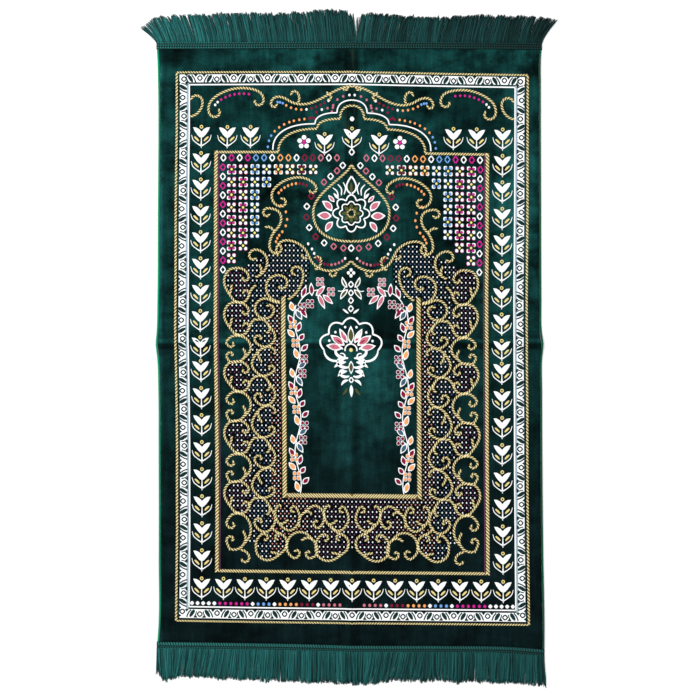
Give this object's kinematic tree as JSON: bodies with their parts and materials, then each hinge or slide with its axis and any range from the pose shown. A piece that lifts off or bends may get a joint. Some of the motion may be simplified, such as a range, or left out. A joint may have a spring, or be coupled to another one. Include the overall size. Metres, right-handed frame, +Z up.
{
  "type": "prayer rug",
  "caption": "Velvet-pile prayer rug lying flat, with overlocked long sides, two soft fold creases and a fringed heading tape at each short end.",
  "frame": {"origin": "centre of the rug's overall box, on the surface it lies on", "axes": "+X to the rug's right, +Y along the rug towards the tip of its niche, +Z up out of the pile"},
  "size_m": [0.7546, 1.2384, 0.0057],
  "materials": {
    "pile_green": "matte",
    "overlock_green": "matte",
    "fringe_teal": "matte"
  },
  "bodies": {
    "root": {"rug_cloth": "pile_green", "binding_left": "overlock_green", "binding_right": "overlock_green", "fringe_top": "fringe_teal", "fringe_bottom": "fringe_teal"}
  },
  "joints": []
}
